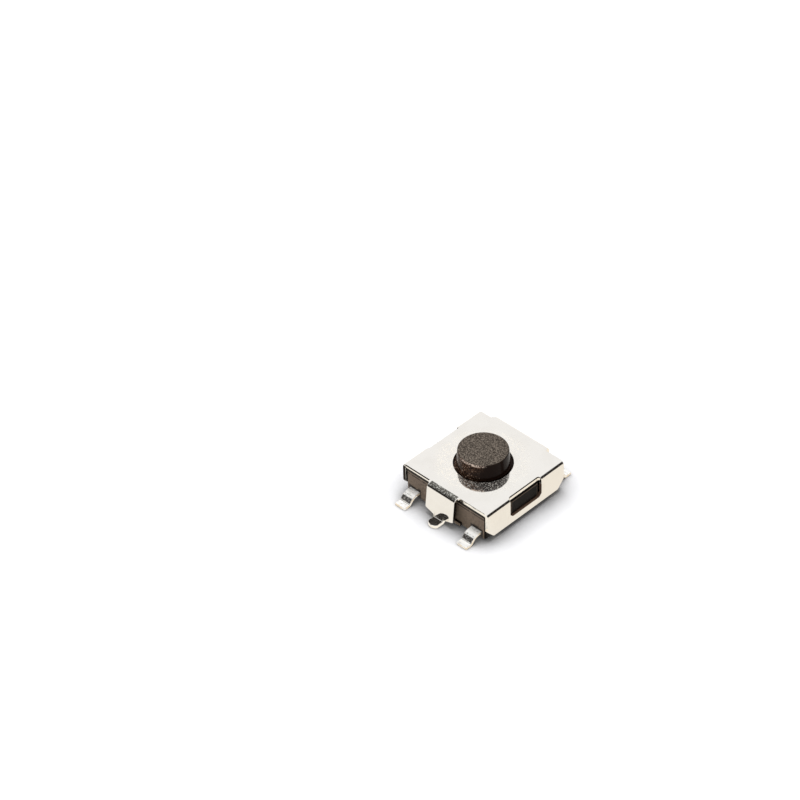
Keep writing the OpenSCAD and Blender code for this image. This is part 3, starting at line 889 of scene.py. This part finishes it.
class SWITCH_OT_terminals(bpy.types.Operator):
    """The two stamped terminals: tin plate, with bare alloy on the cut ends of the leads"""

    bl_idname = "switch.terminals"
    bl_label = "Terminals"

    def execute(self, context):
        settings = context.scene.push_switch.terminals
        finishes = [tin_plate(settings, settings.sheet / MM, settings.exit_height / MM), bare_alloy(settings)]
        for node, name in (("centre_terminal", "Centre_Terminal"), ("rim_terminal", "Rim_Terminal")):
            tip = in_millimetres(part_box(node))[1].y
            piece = piece_from_node(node, name)
            for finish in finishes:
                piece.data.materials.append(finish)
            for face in piece.data.polygons:
                at_tip = abs(face.normal.y) > 0.7 and abs(face.center.y) > tip - 0.01
                face.material_index = int(at_tip or abs(face.normal.x) > 0.7)
            round_edges(piece, settings.edge_radius)
            hand_over(piece, [node], "base")
        return {"FINISHED"}


class SWITCH_OT_contacts(bpy.types.Operator):
    """The snap dome and the film that seals it, built at rest; the real ones flatten as the plunger goes down"""

    bl_idname = "switch.contacts"
    bl_label = "Dome and film"

    def execute(self, context):
        settings = context.scene.push_switch.contacts
        low, high = in_millimetres(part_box("dome_contact"))
        rim, rise = high.x, high.z - low.z
        ball = (rim * rim + rise * rise) / (2 * rise)
        centre = high.z - ball
        dimple, dimple_radius = settings.dimple / MM, settings.dimple_radius / MM

        def dome_height(radius):
            dip = dimple * math.exp(-((radius / dimple_radius) ** 2))
            return centre + math.sqrt(ball * ball - radius * radius) - dip

        dome = self.disc("Dome_Contact", rim, dome_height, settings.dome_sheet / MM, -1)
        dome.data.materials.append(spring_steel(settings))
        self.clip(dome, low.z, high.z)
        smooth(dome)
        hand_over(dome, ["dome_contact"], "base")
        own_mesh(dome)

        low, high = in_millimetres(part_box("seal_film"))
        gap = settings.film_play / MM

        def film_height(radius):
            return max(centre + math.sqrt((ball + gap) ** 2 - radius * radius), low.z)

        film = self.disc("Seal_Film", high.x, film_height, settings.film_sheet / MM, 1)
        film.data.materials.append(amber_film(settings))
        self.clip(film, low.z, high.z)
        smooth(film)
        hand_over(film, ["seal_film"], "base")
        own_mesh(film)
        return {"FINISHED"}

    @staticmethod
    def disc(name, radius, height, thickness, side):
        """A round sheet with rings of points, raised to a height that depends on the radius."""
        rings = 22
        pick_only()
        bpy.ops.mesh.primitive_circle_add(vertices=96, radius=radius, fill_type="NGON")
        piece = rename(bpy.context.object, name)
        bpy.ops.object.mode_set(mode="EDIT")
        bpy.ops.mesh.select_all(action="SELECT")
        for _ in range(rings):
            bpy.ops.mesh.inset(thickness=radius / (rings + 0.5))
        bpy.ops.object.mode_set(mode="OBJECT")
        for point in piece.data.vertices:
            point.co.z = height(min(math.hypot(point.co.x, point.co.y), radius))
        wall = piece.modifiers.new("Sheet", "SOLIDIFY")
        wall.thickness = thickness
        wall.offset = side
        bpy.ops.object.modifier_apply(modifier=wall.name)
        return piece

    @staticmethod
    def clip(piece, low, high):
        """Keeps every point between two heights."""
        for point in piece.data.vertices:
            point.co.z = min(max(point.co.z, low), high)


class SWITCH_OT_stage(bpy.types.Operator):
    """Pale table, soft overhead light, the room that the metal reflects, and the camera"""

    bl_idname = "switch.stage"
    bl_label = "Stage"

    def execute(self, context):
        stage = context.scene.push_switch.stage
        self.table(stage)
        self.room(stage)
        self.lamp(stage)
        self.camera(stage)
        context.scene.view_settings.view_transform = "Standard"
        return {"FINISHED"}

    @staticmethod
    def table(stage):
        """Pale paper, shaded close to the switch. Metal reflects it in two tones."""
        pick_only()
        bpy.ops.mesh.primitive_plane_add(size=stage.table_size, location=(0, 0, 0))
        table = rename(bpy.context.object, "Table")
        material = bpy.data.materials.new("Pale Table")
        material.use_nodes = True
        material.node_tree.nodes.clear()
        material.cycles.emission_sampling = "NONE"
        bench = NodeBench(material.node_tree)
        path = bench.add("ShaderNodeLightPath").outputs
        gloss = bench.gloss_rays(path)
        open_sky = bench.add("ShaderNodeAmbientOcclusion", {"Distance": stage.contact}, samples=3).outputs["AO"]
        tint = bench.blend(bench.power(open_sky, 1.5), BLACK, stage.table)
        paper = bench.add("ShaderNodeBsdfDiffuse", {"Color": tint}).outputs[0]
        strength = bench.times(path["Is Camera Ray"], stage.table_glow)
        glow = bench.add("ShaderNodeEmission", {"Strength": strength}).outputs[0]
        lit = bench.add("ShaderNodeAddShader", {0: paper, 1: glow}).outputs[0]
        x, y, _ = bench.parts(bench.add("ShaderNodeTexCoord").outputs["Object"])
        side = bench.ramp(bench.plus(x, y), -0.006, 0.008)
        tone = bench.blend(side, stage.reflection_left, stage.reflection_right)
        reflected = bench.add("ShaderNodeEmission", {"Color": tone}).outputs[0]
        both = bench.add("ShaderNodeMixShader", {0: gloss, 1: lit, 2: reflected}).outputs[0]
        bench.add("ShaderNodeOutputMaterial", {"Surface": both})
        table.data.materials.append(material)

    @staticmethod
    def room(stage):
        """White to the camera, an even light on matte surfaces, and bright with two dark panels to metal."""
        world = bpy.data.worlds.new("Room")
        bpy.context.scene.world = world
        world.use_nodes = True
        world.node_tree.nodes.clear()
        world.cycles.sampling_method = "NONE"
        bench = NodeBench(world.node_tree)
        path = bench.add("ShaderNodeLightPath").outputs
        x, y, z = bench.parts(bench.add("ShaderNodeTexCoord").outputs["Generated"])
        # The panels stand where the bends along the skirts and over the tab mirror them as dark lines.
        right = bench.times(bench.band(y, 0.42, 0.6, 0.03), bench.ramp(x, -0.1, 0.15))
        left = bench.times(bench.band(x, -0.6, -0.4, 0.03), bench.ramp(y, 0.1, -0.15))
        raised = bench.ramp(bench.plus(x, y), -0.2, 0.2, 0.12, 0.0)
        panels = bench.times(bench.larger(left, right), bench.ramp(bench.minus(z, raised), 0.74, 0.68))
        mirrored = bench.blend(panels, stage.room, stage.room_dark)
        facing_window = bench.towards(x, y, WINDOW_SIDE)
        even = bench.ramp(facing_window, -0.35, 0.6, stage.ambient_far, stage.ambient)
        grey = bench.add("ShaderNodeCombineXYZ", {0: even, 1: even, 2: even}).outputs[0]
        seen = bench.blend(path["Is Camera Ray"], grey, WHITE)
        colour_seen = bench.blend(bench.gloss_rays(path), seen, mirrored)
        light = bench.add("ShaderNodeBackground", {"Color": colour_seen}).outputs[0]
        bench.add("ShaderNodeOutputWorld", {"Surface": light})

    @staticmethod
    def lamp(stage):
        """A softbox above and behind the switch, which matte surfaces see and metal doesn't."""
        softbox = bpy.data.lights.new("Softbox", "AREA")
        softbox.shape = "DISK"
        softbox.size = stage.lamp_size
        softbox.energy = stage.lamp_power
        lamp = bpy.data.objects.new("Softbox", softbox)
        bpy.context.scene.collection.objects.link(lamp)
        towards = Vector(stage.lamp_direction).normalized()
        lamp.location = towards * stage.lamp_distance
        lamp.rotation_mode = "QUATERNION"
        lamp.rotation_quaternion = towards.to_track_quat("Z", "Y")
        lamp.visible_glossy = False
        lamp.visible_camera = False

    @staticmethod
    def camera(stage):
        """A long lens at the given angles, turned about its own axis by the roll."""
        azimuth, elevation, roll = stage.azimuth, stage.elevation, stage.roll
        level = math.cos(elevation)
        back = Vector((math.sin(azimuth) * level, -math.cos(azimuth) * level, math.sin(elevation)))
        right = Vector((math.cos(azimuth), math.sin(azimuth), 0))
        up = back.cross(right)
        turned_right = right * math.cos(roll) + up * math.sin(roll)
        turned_up = up * math.cos(roll) - right * math.sin(roll)
        view = bpy.data.cameras.new("Camera")
        view.sensor_width = 36.0
        view.lens = stage.lens
        view.shift_x, view.shift_y = stage.shift
        view.clip_start, view.clip_end = 0.001, 10.0
        camera = bpy.data.objects.new("Camera", view)
        bpy.context.scene.collection.objects.link(camera)
        axes = Matrix((turned_right, turned_up, back)).transposed().to_4x4()
        camera.matrix_world = Matrix.Translation(back * stage.distance) @ axes
        bpy.context.scene.camera = camera


class SWITCH_PT_sidebar(bpy.types.Panel):
    """Lists the steps that build the switch"""

    bl_idname = "SWITCH_PT_sidebar"
    bl_label = "Push Button Switch"
    bl_space_type = "VIEW_3D"
    bl_region_type = "UI"
    bl_category = "Switch"

    def draw(self, context):
        settings = context.scene.push_switch
        for operator, group in STEPS:
            box = self.layout.box()
            box.operator(operator)
            for name in getattr(settings, group).__annotations__:
                box.prop(getattr(settings, group), name)


STEPS = (
    ("switch.cover", "cover"),
    ("switch.plunger", "plunger"),
    ("switch.housing", "housing"),
    ("switch.terminals", "terminals"),
    ("switch.contacts", "contacts"),
    ("switch.stage", "stage"),
)

CLASSES = (
    CoverSettings, PlungerSettings, HousingSettings, TerminalSettings, ContactSettings, StageSettings, SwitchSettings,
    SWITCH_OT_cover, SWITCH_OT_plunger, SWITCH_OT_housing, SWITCH_OT_terminals, SWITCH_OT_contacts, SWITCH_OT_stage,
    SWITCH_PT_sidebar,
)


def register():
    for cls in CLASSES:
        bpy.utils.register_class(cls)
    bpy.types.Scene.push_switch = PointerProperty(type=SwitchSettings)


def unregister():
    del bpy.types.Scene.push_switch
    for cls in reversed(CLASSES):
        bpy.utils.unregister_class(cls)


def main():
    register()
    bpy.ops.switch.cover()
    bpy.ops.switch.plunger()
    bpy.ops.switch.housing()
    bpy.ops.switch.terminals()
    bpy.ops.switch.contacts()
    bpy.ops.switch.stage()
    pick_only()


if __name__ == "__main__":
    main()
